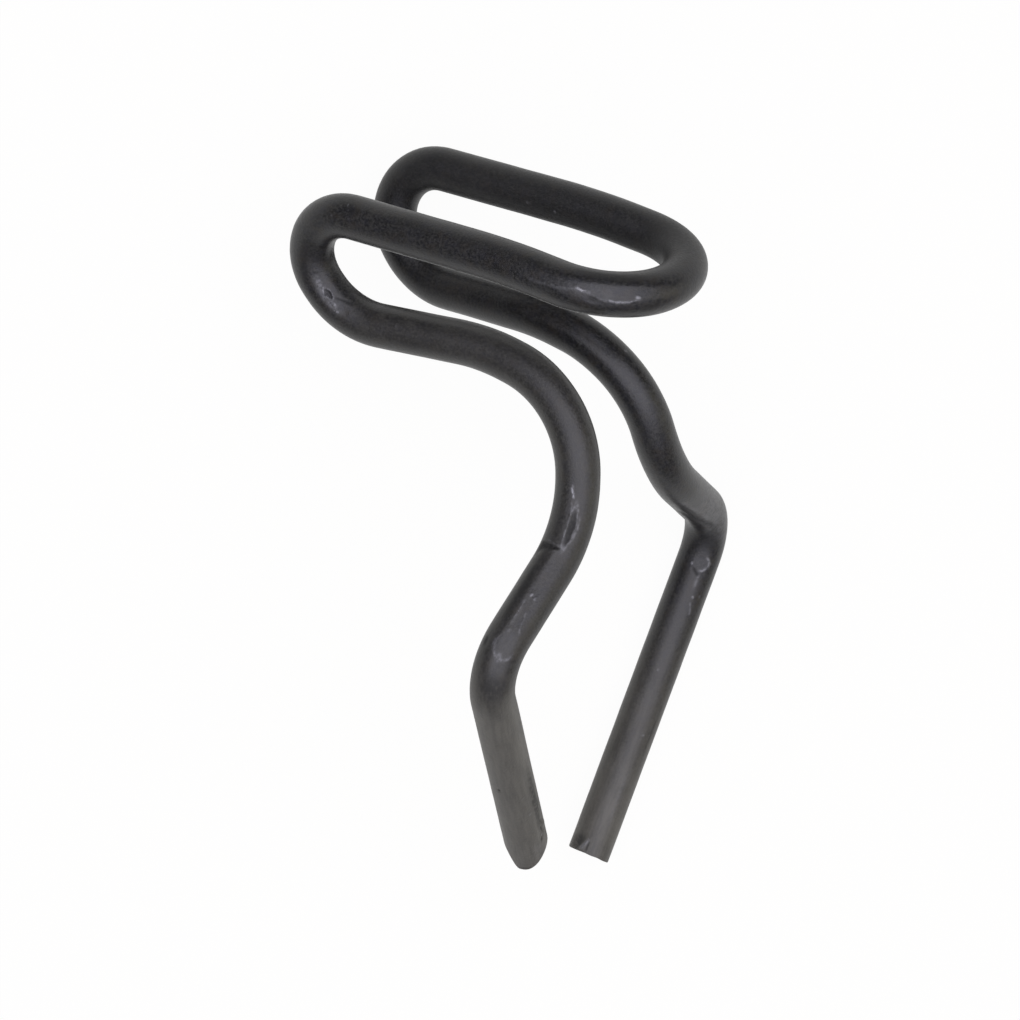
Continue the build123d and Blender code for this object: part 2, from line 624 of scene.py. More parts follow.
@dataclass(frozen=True)
class ToolMarksAndPaintedLight:
    """Every mark on the wire, painted highlights and shade among them, grouped by the place where it
    was made.
    """

    def all(self) -> list[Mark]:
        """Gathers the groups.

        Returns:
            The marks from the front leg's end to the rear leg's end.
        """
        return [
            *self.front_tip(),
            *self.front_knee(),
            *self.front_heel(),
            *self.nose(),
            *self.stains_and_shade(),
            *self.rear_knee(),
            *self.rear_tip(),
        ]

    def front_tip(self) -> list[Mark]:
        """A burr that the slack jaw rolled up, and scale in the corner behind it.

        Returns:
            The marks of this place.
        """
        on_tip = partial(Place, Half.FRONT, Bend.KNEE)
        return [
            Hollow(on_tip(8.6, -116), 0.4, 0.3, -0.05),
            Hollow(on_tip(9.15, -121), 0.5, 0.24, -0.03),
            Hollow(on_tip(8.3, -126), 0.2, 0.14, 0.02, soot_and_shade=0.9),
            Hollow(on_tip(8.75, -130), 0.4, 0.14, 0.03, tilt=10, soot_and_shade=0.9),
            Hollow(on_tip(9.25, -136), 0.3, 0.13, 0.03, tilt=-15, soot_and_shade=0.9),
            Hollow(on_tip(9.0, -133), 0.11, 0.11, -0.02, rubbed_and_highlight=0.4),
            Hollow(on_tip(7.0, -130), 4.6, 0.42, soot_and_shade=0.7),
            Hollow(on_tip(7.4, -156), 0.13, 0.12, -0.012, rubbed_and_highlight=0.3),
            Hollow(on_tip(6.35, -165), 0.1, 0.09, -0.008, rubbed_and_highlight=0.2),
            Hollow(on_tip(5.78, 133), 0.14, 0.12, 0.02, soot_and_shade=1.0),
            Ridge(on_tip(8.6, 108), 2.6, 0.3, rubbed_and_highlight=0.08),
            Hollow(on_tip(9.7, -157), 1.1, 0.5, rubbed_and_highlight=0.1),
            Hollow(on_tip(10.6, 160), 0.3, 1.2, soot_and_shade=0.35),
        ]

    def front_knee(self) -> list[Mark]:
        """The long flat of the bending tool, its oval end, the step and the slot above it.

        Returns:
            The marks of this place.
        """
        on_knee = partial(Place, Half.FRONT, Bend.KNEE)
        on_waist = partial(Place, Half.FRONT, Bend.WAIST)
        return [
            Flat(on_waist(3.35, 158), 5.0, 0.6, 0.044, rubbed_and_highlight=0.06, softness=0.03),
            Crescent(on_knee(-0.9, 163), 0.86, 0.1, -0.012, tilt=-25, rubbed_and_highlight=0.4, sweep=170),
            Hollow(on_knee(-0.52, 157), 0.26, 0.3, -0.01, rubbed_and_highlight=0.5),
            Hollow(on_knee(-1.3, 150), 0.16, 0.12, -0.01, rubbed_and_highlight=0.4),
            Hollow(on_knee(-2.75, 151), 0.15, 0.12, -0.012, rubbed_and_highlight=0.8),
            Hollow(on_knee(-2.68, 166), 0.18, 0.12, -0.01, rubbed_and_highlight=0.5),
            Ridge(on_knee(-2.03, 144), 1.2, 0.07, -0.01, rubbed_and_highlight=0.35),
            Ridge(on_knee(-1.75, 170), 1.1, 0.07, -0.008, tilt=14, rubbed_and_highlight=0.3),
            Gouge(on_waist(1.0, 126), 0.62, 0.8, 0.05, tilt=-8, soot_and_shade=1.0),
            Ridge(on_waist(0.92, 130), 0.7, 0.08, -0.01, tilt=82, rubbed_and_highlight=0.2),
            Hollow(on_waist(0.15, 159), 1.6, 0.27, 0.045, lip=0.014, rubbed_and_highlight=0.4, soot_and_shade=0.9),
            Ridge(on_waist(0.2, 172), 1.3, 0.1, -0.01, tilt=-4, rubbed_and_highlight=0.4, bow=0.05),
            Ridge(on_waist(-1.25, 147), 0.62, 0.08, -0.012, tilt=10, rubbed_and_highlight=0.95),
            Ridge(on_waist(-0.5, 148), 1.0, 0.06, -0.008, tilt=4, rubbed_and_highlight=0.4),
            Hollow(on_knee(0.35, 165), 0.9, 1.3, soot_and_shade=0.6),
            Hollow(on_knee(-0.78, 104), 0.3, 0.2, 0.015, soot_and_shade=0.9),
            Hollow(on_waist(2.9, 122), 3.6, 0.34, soot_and_shade=0.7),
        ]

    def front_heel(self) -> list[Mark]:
        """A burnished patch with a pit and a crease whose shade is painted in, and a crimp inside the
        bend above.

        Returns:
            The marks of this place.
        """
        on_heel = partial(Place, Half.FRONT, Bend.HEEL)
        on_return = partial(Place, Half.FRONT, Bend.RETURN)
        return [
            Flat(on_heel(-1.0, 141), 2.4, 0.5, 0.03, rubbed_and_highlight=0.1),
            Hollow(on_heel(-1.65, 141), 0.8, 0.3, rubbed_and_highlight=0.4),
            Ridge(on_heel(-0.95, 134), 1.7, 0.24, -0.006, tilt=-6, rubbed_and_highlight=0.3),
            Hollow(on_heel(-1.03, 145), 0.54, 0.2, 0.055, lip=0.016, rubbed_and_highlight=0.7, soot_and_shade=1.0),
            Hollow(on_heel(-0.6, 137), 0.34, 0.13, -0.012, rubbed_and_highlight=0.7),
            Hollow(on_heel(-0.26, 128), 0.13, 0.12, -0.012, rubbed_and_highlight=0.8),
            # Painted shade: the shallow crease is darkened as the shadow in it, in place of a deeper
            # groove.
            Ridge(on_heel(-0.33, 161), 1.0, 0.13, 0.012, tilt=19, soot_and_shade=1.0),
            Hollow(on_return(-0.15, 158), 0.4, 0.2, 0.01, tilt=60, soot_and_shade=0.8),
            Hollow(on_return(0.5, 130), 0.7, 0.8, soot_and_shade=0.6),
            Hollow(on_return(1.2, 116), 0.7, 0.3, soot_and_shade=0.7),
            Hollow(on_return(-2.26, 44), 0.09, 0.08, -0.008, rubbed_and_highlight=0.35),
            Hollow(on_return(-1.8, 78), 0.09, 0.08, -0.008, rubbed_and_highlight=0.25),
            Hollow(on_return(-2.45, 76), 0.1, 0.09, -0.008, rubbed_and_highlight=0.25),
            Hollow(on_return(-0.41, 85), 0.09, 0.08, -0.008, rubbed_and_highlight=0.2),
            Hollow(on_return(-1.58, 84), 0.12, 0.1, 0.01, soot_and_shade=0.8),
            Hollow(on_heel(2.29, 146), 0.12, 0.1, -0.008, rubbed_and_highlight=0.25),
            Hollow(on_heel(3.25, 162), 0.45, 0.26, 0.01, soot_and_shade=0.8),
            Hollow(on_heel(2.2, 165), 0.9, 0.2, soot_and_shade=0.6),
        ]

    def nose(self) -> list[Mark]:
        """The flat of the former under the nose, with the bright edge that it left, and a soft painted
        highlight round that edge.

        Returns:
            The marks of this place.
        """
        on_nose = partial(Place, Half.FRONT, Bend.NOSE)
        return [
            Flat(on_nose(0.1, 64), 2.6, 0.5, 0.026, rubbed_and_highlight=0.03),
            Ridge(on_nose(2.0, 78), 2.4, 0.16, -0.006, tilt=6, rubbed_and_highlight=0.22),
            # Painted highlight: a broad, faint patch lightened towards steel, standing in for the soft
            # glow of light round the nose's highlight.
            Hollow(on_nose(1.3, 68), 3.2, 0.6, rubbed_and_highlight=0.09),
            Ridge(on_nose(1.22, 72), 0.55, 0.11, -0.01, tilt=-14, rubbed_and_highlight=0.8),
            Ridge(on_nose(0.2, 79), 1.35, 0.09, -0.012, rubbed_and_highlight=0.65, bow=0.15),
            Hollow(on_nose(-0.33, 77), 0.16, 0.14, -0.008, rubbed_and_highlight=0.7),
            Hollow(on_nose(0.92, 88), 0.34, 0.22, 0.025, soot_and_shade=0.7),
            Hollow(on_nose(-0.76, 104), 0.6, 0.4, soot_and_shade=0.6),
            Hollow(on_nose(0.4, 22), 3.0, 0.4, soot_and_shade=0.6),
        ]

    def stains_and_shade(self) -> list[Mark]:
        """Dark scale and dull places on the arms, and broad painted shade over the rear arm and nose.

        Returns:
            The marks of this place.
        """
        front, rear = Half.FRONT, Half.REAR
        return [
            Hollow(Place(front, Bend.CROWN, 0.2, 46), 3.4, 0.5, soot_and_shade=0.45),
            Hollow(Place(front, Bend.CROWN, 3.4, 44), 1.6, 0.5, soot_and_shade=0.3),
            Hollow(Place(rear, Bend.NOSE, 1.75, -48), 0.9, 0.9, soot_and_shade=0.3),
            Hollow(Place(rear, Bend.RETURN, -3.7, -55), 1.0, 0.8, soot_and_shade=0.5),
            # Painted shade: these two broad dark patches darken the rear of the nose and the rear arm,
            # standing in for the dimmer light that falls there.
            Hollow(Place(rear, Bend.NOSE, 0.0, -60), 7.0, 4.0, soot_and_shade=0.6),
            Hollow(Place(rear, Bend.CROWN, 3.2, -90), 16.0, 3.2, soot_and_shade=0.6),
            Hollow(Place(rear, Bend.CROWN, 1.1, -90), 0.1, 0.1, -0.01, rubbed_and_highlight=0.5),
            Hollow(Place(rear, Bend.CROWN, 2.3, -85), 0.12, 0.1, -0.01, rubbed_and_highlight=0.5),
            Hollow(Place(rear, Bend.SHOULDER, 0.9, -98), 2.6, 0.9, rubbed_and_highlight=0.05),
            Hollow(Place(rear, Bend.SHOULDER, -0.4, -150), 0.14, 0.14, -0.01, rubbed_and_highlight=0.5),
        ]

    def rear_knee(self) -> list[Mark]:
        """A squeezed fold in the bend, with painted shade in its crease and painted reflection on its
        ridge and over the bend, and a nick with pits on the leg just past it.

        Returns:
            The marks of this place.
        """
        on_knee = partial(Place, Half.REAR, Bend.KNEE)
        return [
            # Painted reflection: a broad patch over the bend lightened towards steel, standing in for
            # the floor's light reflected there.
            Hollow(on_knee(-1.7, -130), 4.4, 1.9, rubbed_and_highlight=0.18),
            # The fold's ridge stands proud and is also painted lighter, as the floor's light reflected
            # along it.
            Ridge(on_knee(-3.1, -96), 3.4, 0.24, -0.012, tilt=-6, rubbed_and_highlight=0.2),
            # Painted shade: the fold's crease is darkened as the shadow that lies in it.
            Ridge(on_knee(-2.05, -78), 3.0, 0.26, 0.02, tilt=-15, soot_and_shade=0.9),
            Hollow(on_knee(0.2, -85), 1.4, 0.9, soot_and_shade=0.4),
            Crescent(on_knee(1.42, -80), 0.64, 0.11, -0.014, tilt=-80, rubbed_and_highlight=0.65, sweep=150),
            Hollow(on_knee(1.38, -77), 0.5, 0.45, 0.018),
            Ridge(on_knee(1.82, -72), 0.42, 0.11, 0.03, tilt=-59, soot_and_shade=1.0),
            Hollow(on_knee(1.58, -57), 0.12, 0.1, -0.012, rubbed_and_highlight=0.7),
            Ridge(on_knee(2.2, -85), 0.7, 0.12, -0.006, rubbed_and_highlight=0.3),
            Hollow(on_knee(2.76, -92), 0.13, 0.12, -0.014, rubbed_and_highlight=0.8),
            Hollow(on_knee(2.66, -112), 0.14, 0.12, 0.02, rubbed_and_highlight=0.2, soot_and_shade=0.8),
            Ridge(on_knee(3.2, -96), 0.6, 0.07, -0.006, tilt=-21, rubbed_and_highlight=0.5),
            Hollow(on_knee(5.73, -72), 0.11, 0.1, -0.008, rubbed_and_highlight=0.35),
            Hollow(on_knee(8.23, -95), 0.11, 0.1, -0.008, rubbed_and_highlight=0.35),
            Ridge(on_knee(7.9, -120), 2.4, 0.09, 0.008, tilt=2, soot_and_shade=0.5),
        ]

    def rear_tip(self) -> list[Mark]:
        """A chip in the corner of the shear, and the bright edge beside it.

        Returns:
            The marks of this place.
        """
        on_tip = partial(Place, Half.REAR, Bend.KNEE)
        return [
            Hollow(on_tip(12.8, -28), 0.75, 0.5, 0.07, tilt=25, soot_and_shade=0.7),
            Ridge(on_tip(12.8, -49), 0.6, 0.12, -0.014, tilt=20, rubbed_and_highlight=0.7),
            Hollow(on_tip(13.0, -44), 0.2, 0.24, -0.01, rubbed_and_highlight=0.4),
            Ridge(on_tip(12.85, -59), 0.5, 0.08, 0.012, soot_and_shade=0.7),
            Ridge(on_tip(10.9, -92), 2.4, 0.16, -0.004, rubbed_and_highlight=0.1),
        ]


@dataclass(frozen=True)
class PinchedEnd:
    """The front leg's end: two jaws of unlike slope meet in a blunt, off-centre edge."""

    turn: float = 51.0
    long_bevel: float = 16.0
    short_bevel: float = 45.0
    edge_width: float = 0.55
    edge_offset: float = 0.25
    softness: float = 0.3

    def height(self, across: Array) -> Array:
        """Height of the cut face.

        Args:
            across: Distances from the leg's axis, across the jaws' edge.

        Returns:
            The heights over the leg's nominal end.
        """
        left = self.edge_offset - self.edge_width / 2
        right = left + self.edge_width
        short = (across - left) / math.tan(math.radians(self.short_bevel))
        long = (right - across) / math.tan(math.radians(self.long_bevel))
        return self._lower(self._lower(short, long), np.zeros_like(across))

    def _lower(self, one: Array, other: Array) -> Array:
        """The lower of two faces, with the corner between them worn round.

        Args:
            one: Heights of one face.
            other: Heights of the other face.

        Returns:
            The heights of the lower one.
        """
        blend = np.clip(0.5 + 0.5 * (other - one) / self.softness, 0, 1)
        worn = other + (one - other) * blend
        return worn - self.softness * blend * (1 - blend)


@dataclass(frozen=True)
class ShearedEnd:
    """The rear leg's end: a round blade left it a little slanted and hollow."""

    turn: float = -118.0
    slant: float = 3.0
    blade_radius: float = 3.4

    def height(self, across: Array) -> Array:
        """Height of the cut face.

        Args:
            across: Distances from the leg's axis, across the blade's edge.

        Returns:
            The heights over the leg's nominal end.
        """
        lean = math.radians(self.slant)
        side = across + self.blade_radius * math.sin(lean)
        return self.blade_radius * math.cos(lean) - np.sqrt(self.blade_radius**2 - side**2)


@dataclass
class SpringWire:
    """The one piece of the clip: wire bent, marked by its tools, painted with light and shade, and cut
    at both ends.
    """

    form: ClipForm = field(default_factory=ClipForm)
    front_cut: PinchedEnd = field(default_factory=PinchedEnd)
    rear_cut: ShearedEnd = field(default_factory=ShearedEnd)
    marks: Sequence[Mark] = field(default_factory=lambda: ToolMarksAndPaintedLight().all())
    # Painted light: the legs, and faintly the front half up to its heel, are painted paler grey as the
    # brighter light that falls on them.
    painted_pale_zones: Sequence[PaintedPaleness] = (
        PaintedPaleness(Half.FRONT, 8.5, 12.0),
        PaintedPaleness(Half.FRONT, 28.0, 32.0, 0.2),
        PaintedPaleness(Half.REAR, 0.0, 12.5),
    )
    raggedness: float = 0.045
    seed: int = 1
    ragged_waves: float = 2.3
    frayed_waves: float = 8.0
    frayed_share: float = 0.25
    columns: int = 80
    crowding: float = 0.45
    crowding_reach: float = 1.5
    coarse_step: float = 0.17
    fine_step: float = 0.044
    fine_mark: float = 0.3
    fine_margin: float = 0.1
    end_zone: float = 2.6
    cap_rings: int = 18
    rim_round: float = 0.035
    rim_worn: float = 0.3
    torn_depth: float = 0.018
    torn_waves: float = 3.0
    unevenness: float = 0.012
    uneven_waves: float = 0.9
    sharp_angle: float = 40.0
    name: str = "bent_wire"

    def stations(self) -> Array:
        """Lengths at which rings are laid: close together at the ends and on the marks.

        Returns:
            The lengths from the front leg's end, in rising order.
        """
        route = self.form.route()
        probe = Wire.bent(self.form, np.linspace(0, route.length, 3))
        spans = [(0.0, self.end_zone), (route.length - self.end_zone, route.length)]
        for mark in self.marks:
            if min(mark.length, mark.width) <= self.fine_mark:
                middle = probe.station(mark.place)
                reach = max(mark.length, mark.width) / 2 + self.fine_margin
                spans.append((middle - reach, middle + reach))
        lengths = [0.0]
        while lengths[-1] < route.length:
            near = any(low <= lengths[-1] <= high for low, high in spans)
            lengths.append(lengths[-1] + (self.fine_step if near else self.coarse_step))
        return np.array(lengths) * route.length / lengths[-1]

    def cut_frame(self, half: Half) -> tuple[Array, Array]:
        """How a cut end and its cutter lie, in the upright clip's axes.

        Args:
            half: The half whose leg is cut.

        Returns:
            The direction out of the end, and the one across the cutter's edge.
        """
        knee, end = self.form.half_points(half)[-2:]
        out = unit(end - knee)
        level = unit(np.array([1.0, 0, 0]) - out * out[0])
        angle = math.radians(self.cut(half).turn)
        edge = level * math.cos(angle) + np.cross(out, level) * math.sin(angle)
        return out, np.cross(out, edge)

    def crowded(self, wire: Wire) -> Array:
        """Angles of the columns, crowded on the side that lies uppermost.

        Args:
            wire: The bent centreline.

        Returns:
            The angles from the wire's top direction in radians, one row for each ring.
        """
        up = self.form.landing(wire.route)[1][2]
        beside = np.cross(wire.tangents, wire.tops)
        faced = np.stack([wire.tops @ up, beside @ up], 1)
        gaps = (wire.stations[:, None] - wire.stations) / self.crowding_reach
        faced = np.exp(-(gaps**2)) @ faced
        middle = np.arctan2(faced[:, 1], faced[:, 0])[:, None]
        turn = np.radians(np.arange(self.columns) * 360 / self.columns)[None]
        return turn - self.crowding * np.sin(turn - middle)

    def skin(self, wire: Wire) -> Skin:
        """The side of the wire, its last rings slid along it to meet the two cuts.

        Args:
            wire: The bent centreline.

        Returns:
            The unmarked side.
        """
        around = self.crowded(wire)
        along = np.repeat(wire.stations[:, None], self.columns, 1)
        radius = self.form.wire_diameter / 2
        for half, from_end, sign in (
            (Half.FRONT, along[:, :1], 1),
            (Half.REAR, wire.route.length - along[:, :1], -1),
        ):
            reach = radius * self.outward(wire, around)[0 if sign > 0 else -1]
            height = self.cut(half).height(reach @ self.cut_frame(half)[1])
            share = np.clip(1 - from_end / self.end_zone, 0, 1)
            along = along - sign * share * (height - self.rim_round)
        even = Skin(wire, along, around, radius, np.zeros((*along.shape, 2)))
        noise.seed_set(self.seed)
        ragged = [
            noise.noise_vector(spot * self.ragged_waves)
            + self.frayed_share * noise.noise_vector(spot * self.frayed_waves)
            for spot in map(Vector, even.drawn().reshape(-1, 3))
        ]
        ragged = np.array(ragged).reshape(*along.shape, 3)[..., :2]
        return replace(even, ragged=self.raggedness * ragged)

    def cut(self, half: Half) -> PinchedEnd | ShearedEnd:
        """The cut at the end of one half."""
        return self.front_cut if half is Half.FRONT else self.rear_cut

    def outward(self, wire: Wire, around: Array) -> Array:
        """Unit directions out of the wire.

        Args:
            wire: The bent centreline.
            around: Angles from the wire's top direction, one row for each ring.

        Returns:
            The direction at each ring and angle.
        """
        beside = np.cross(wire.tangents, wire.tops)
        cos, sin = np.cos(around)[..., None], np.sin(around)[..., None]
        return wire.tops[:, None] * cos + beside[:, None] * sin

    def side(self, wire: Wire, skin: Skin, relief: Array) -> Array:
        """Points of the wire's side, in the upright clip's axes.

        Args:
            wire: The bent centreline.
            skin: The unmarked side.
            relief: Height of each vertex over the full round.

        Returns:
            The point of each vertex.
        """
        slid = (skin.along - wire.stations[:, None])[..., None] * wire.tangents[:, None]
        out = self.outward(wire, skin.around) * (skin.radius + relief)[..., None]
        return wire.points[:, None] + slid + out

    def cap(self, wire: Wire, skin: Skin, half: Half) -> tuple[Array, Array]:
        """Rings of a cut face, from its worn rim to its middle.

        Args:
            wire: The bent centreline.
            skin: The side that the face closes.
            half: The half whose leg is cut.

        Returns:
            The rings of points, and the point in the middle.
        """
        ring = 0 if half is Half.FRONT else -1
        out, across = self.cut_frame(half)
        outward = self.outward(wire, skin.around)[ring]
        worn = self.rim_worn * self.rim_round
        inner = (skin.radius - self.rim_round) * np.arange(self.cap_rings, 0, -1) / self.cap_rings
        radii = np.array([skin.radius - worn, *inner])
        offsets = radii[:, None, None] * outward
        height = self.cut(half).height(offsets @ across)
        height[0] = self.cut(half).height(skin.radius * outward @ across) - worn
        height = height + self.torn(offsets)
        rings = wire.points[ring] + offsets + height[..., None] * out
        middle = wire.points[ring] + float(self.cut(half).height(np.zeros(1))[0]) * out
        return rings, middle

    def torn(self, offsets: Array) -> Array:
        """Fine unevenness of a cut face, mostly inwards.

        Args:
            offsets: Points on the leg's nominal end, from its axis.

        Returns:
            The height to add at each point.
        """
        flat = offsets.reshape(-1, 3) * self.torn_waves
        bumps = np.array([noise.noise(Vector(spot)) for spot in flat])
        return self.torn_depth * (bumps.reshape(offsets.shape[:-1]) - 0.5)

    def pressed(self, skin: Skin) -> tuple[Array, dict[str, Array]]:
        """Presses every mark into the skin.

        Args:
            skin: The unmarked side of the wire.

        Returns:
            The relief of the side, and at each vertex how far it is worn bright or painted as a
            highlight, how far scale or painted shade darkens it, and how much pale light is painted on
            it.
        """
        relief = np.zeros_like(skin.along)
        wear_and_light = {"rubbed_and_highlight": np.zeros_like(relief), "soot_and_shade": np.zeros_like(relief)}
        wear_and_light["painted_paleness"] = np.max([greying.cover(skin) for greying in self.painted_pale_zones], 0)
        for mark in self.marks:
            imprint = mark.press(skin)
            relief += imprint.raised
            wear_and_light["rubbed_and_highlight"] = np.maximum(wear_and_light["rubbed_and_highlight"], imprint.proud * mark.rubbed_and_highlight)
            wear_and_light["soot_and_shade"] = np.maximum(wear_and_light["soot_and_shade"], imprint.sunk * mark.soot_and_shade)
        return relief, wear_and_light

    def build(self, box: tuple[Vector, Vector]) -> bpy.types.Object:
        """Makes the wire's mesh where its solid lies.

        Args:
            box: The lowest and highest corner of the solid, in metres.

        Returns:
            The mesh object, with its finish still to come.
        """
        wire = Wire.bent(self.form, self.stations())
        skin = self.skin(wire)
        knee, axes = self.form.landing(wire.route)
        plain = (self.side(wire, skin, np.zeros_like(skin.along)) - knee) @ axes.T
        low, high = plain.reshape(-1, 3).min(0), plain.reshape(-1, 3).max(0)
        shift = (np.array(box[0]) + np.array(box[1])) / 2 / MM - (low + high) / 2

        relief, wear_and_light = self.pressed(skin)
        relief -= self.hammered(plain)
        side = self.side(wire, skin, relief)
        front, front_middle = self.cap(wire, skin, Half.FRONT)
        rear, rear_middle = self.cap(wire, skin, Half.REAR)
        rows = np.concatenate([front[::-1], side, rear])
        points = np.concatenate([rows.reshape(-1, 3), front_middle[None], rear_middle[None]])
        points = ((points - knee) @ axes.T + shift) * MM

        mesh = bpy.data.meshes.new(self.name)
        mesh.from_pydata(points.tolist(), [], self.faces(len(rows)))
        mesh.shade_smooth()
        mesh.set_sharp_from_angle(angle=math.radians(self.sharp_angle))
        self.note_surface(mesh, skin, wear_and_light, len(front))
        mesh.validate()
        piece = bpy.data.objects.new(self.name, mesh)
        bpy.context.scene.collection.objects.link(piece)
        return piece

    def hammered(self, points: Array) -> Array:
        """Slow unevenness of drawn and formed wire.

        Args:
            points: The points of the wire's side.

        Returns:
            The depth of each point below the full round.
        """
        flat = points.reshape(-1, 3) * self.uneven_waves
        waves = np.array([noise.noise(Vector(spot)) for spot in flat]).reshape(points.shape[:2])
        return self.unevenness * (0.5 + 0.5 * np.clip(waves, -1, 1))

    def faces(self, rows: int) -> list[tuple[int, ...]]:
        """Quads between the rings, and a fan round the middle of each cut face.

        Args:
            rows: Number of rings, with those of the cut faces.

        Returns:
            The vertex numbers of each face.
        """
        columns, last = self.columns, (rows - 1) * self.columns
        quads = [
            (
                row * columns + column,
                row * columns + (column + 1) % columns,
                (row + 1) * columns + (column + 1) % columns,
                (row + 1) * columns + column,
            )
            for row in range(rows - 1)
            for column in range(columns)
        ]
        front, rear = rows * columns, rows * columns + 1
        for column in range(columns):
            after = (column + 1) % columns
            quads.append((front, after, column))
            quads.append((rear, last + column, last + after))
        return quads

    def note_surface(self, mesh: bpy.types.Mesh, skin: Skin, wear_and_light: dict[str, Array], cap: int) -> None:
        """Writes what the finish needs to know at each vertex.

        Args:
            mesh: The mesh that gets the attributes.
            skin: The side of the wire.
            wear_and_light: How far the side is worn bright or painted as a highlight, darkened by scale
                or painted shade, and painted with pale light.
            cap: Number of rings in each cut face.
        """
        face = np.zeros((cap, self.columns))
        for key, amount in wear_and_light.items():
            first, final = face + amount[0], face + amount[-1]
            values = np.concatenate([first, amount, final]).ravel()
            self.write(mesh, key, np.append(values, [amount[0].mean(), amount[-1].mean()]))
        side = skin.drawn()
        shrink = np.linspace(0, 1, cap)[:, None, None] * [1, 1, 0] + [0, 0, 1]
        drawn = np.concatenate([side[:1] * shrink, side, side[-1:] * shrink[::-1]]).reshape(-1, 3)
        ends = [[0, 0, skin.along[0].mean()], [0, 0, skin.along[-1].mean()]]
        attribute = mesh.attributes.new("drawn", "FLOAT_VECTOR", "POINT")
        attribute.data.foreach_set("vector", np.concatenate([drawn, ends]).astype(np.float32).ravel())

    @staticmethod
    def write(mesh: bpy.types.Mesh, name: str, values: Array) -> None:
        """Stores one number for each vertex."""
        attribute = mesh.attributes.new(name, "FLOAT", "POINT")
        attribute.data.foreach_set("value", values.astype(np.float32))


class Signal:
    """A number that varies over a surface: a shader node's output socket, with arithmetic."""

    def __init__(self, graph: Graph, socket: bpy.types.NodeSocket) -> None:
        """Wraps a socket of the graph."""
        self.graph = graph
        self.socket = socket

    def _math(self, operation: str, *terms: Signal | float) -> Signal:
        """A Math node on the terms."""
        return self.graph.signal("ShaderNodeMath", {"operation": operation}, dict(enumerate(terms)))

    def __add__(self, other: Signal | float) -> Signal:
        """Sum."""
        return self._math("ADD", self, other)

    def __radd__(self, other: float) -> Signal:
        """Sum with a plain number first."""
        return self._math("ADD", other, self)

    def __sub__(self, other: Signal | float) -> Signal:
        """Difference."""
        return self._math("SUBTRACT", self, other)

    def __rsub__(self, other: float) -> Signal:
        """Difference from a plain number."""
        return self._math("SUBTRACT", other, self)

    def __mul__(self, other: Signal | float) -> Signal:
        """Product."""
        return self._math("MULTIPLY", self, other)

    def __rmul__(self, other: float) -> Signal:
        """Product with a plain number first."""
        return self._math("MULTIPLY", other, self)

    def over(self, other: Signal) -> Signal:
        """The larger of two signals."""
        return self._math("MAXIMUM", self, other)

    def between(self, low: float, high: float) -> Signal:
        """A soft step from 0 at one value to 1 at another.

        Args:
            low: The value up to which it is 0.
            high: The value from which it is 1.

        Returns:
            The step.
        """
        settings = {"interpolation_type": "SMOOTHSTEP", "clamp": True}
        inputs = {"Value": self, "From Min": low, "From Max": high}
        return self.graph.signal("ShaderNodeMapRange", settings, inputs)


Settings = dict[str, object]
Inputs = dict[str | int, object]


class Graph:
    """The node tree of one material or of the world, and the few ways to add to it."""

    def __init__(self, tree: bpy.types.NodeTree) -> None:
        """Empties the tree."""
        self.tree = tree
        tree.nodes.clear()

    def node(self, kind: str, settings: Settings, inputs: Inputs) -> bpy.types.Node:
        """Adds a node.

        Args:
            kind: The node's type.
            settings: Its own settings, which are set before its sockets.
            inputs: A plain value, a socket or a signal for each input, by name or number.

        Returns:
            The node.
        """
        made = self.tree.nodes.new(kind)
        for key, value in settings.items():
            setattr(made, key, value)
        for key, value in inputs.items():
            if isinstance(value, Signal):
                value = value.socket
            if isinstance(value, bpy.types.NodeSocket):
                self.tree.links.new(value, made.inputs[key])
            else:
                made.inputs[key].default_value = value
        return made

    def signal(self, kind: str, settings: Settings, inputs: Inputs, out: str | int = 0) -> Signal:
        """Adds a node and takes one of its outputs as a signal."""
        return Signal(self, self.node(kind, settings, inputs).outputs[out])

    def attribute(self, name: str, out: str = "Fac") -> Signal:
        """What the mesh says of itself under a name."""
        return self.signal("ShaderNodeAttribute", {"attribute_name": name}, {}, out)

    def mix(self, factor: Signal, first: object, second: object) -> bpy.types.NodeSocket:
        """A colour between two."""
        inputs = {0: factor, 6: first, 7: second}
        return self.node("ShaderNodeMix", {"data_type": "RGBA"}, inputs).outputs[2]


def colour(red: float, green: float, blue: float) -> tuple[float, float, float, float]:
    """An opaque colour."""
    return red, green, blue, 1.0


@dataclass(frozen=True)
class Clouds:
    """Cloudy noise over a surface, with its scale in waves a millimetre."""

    waves: float
    detail: float
    roughness: float

    def over(self, graph: Graph, place: bpy.types.NodeSocket) -> Signal:
        """Lays the noise over the surface.

        Args:
            graph: The material that it is for.
            place: Where each point lies, in millimetres.

        Returns:
            The noise, from 0 to 1.
        """
        inputs = {
            "Vector": place,
            "Scale": self.waves,
            "Detail": self.detail,
            "Roughness": self.roughness,
        }
        return graph.signal("ShaderNodeTexNoise", {}, inputs, "Fac")


Colour = tuple[float, float, float, float]
Range = tuple[float, float]


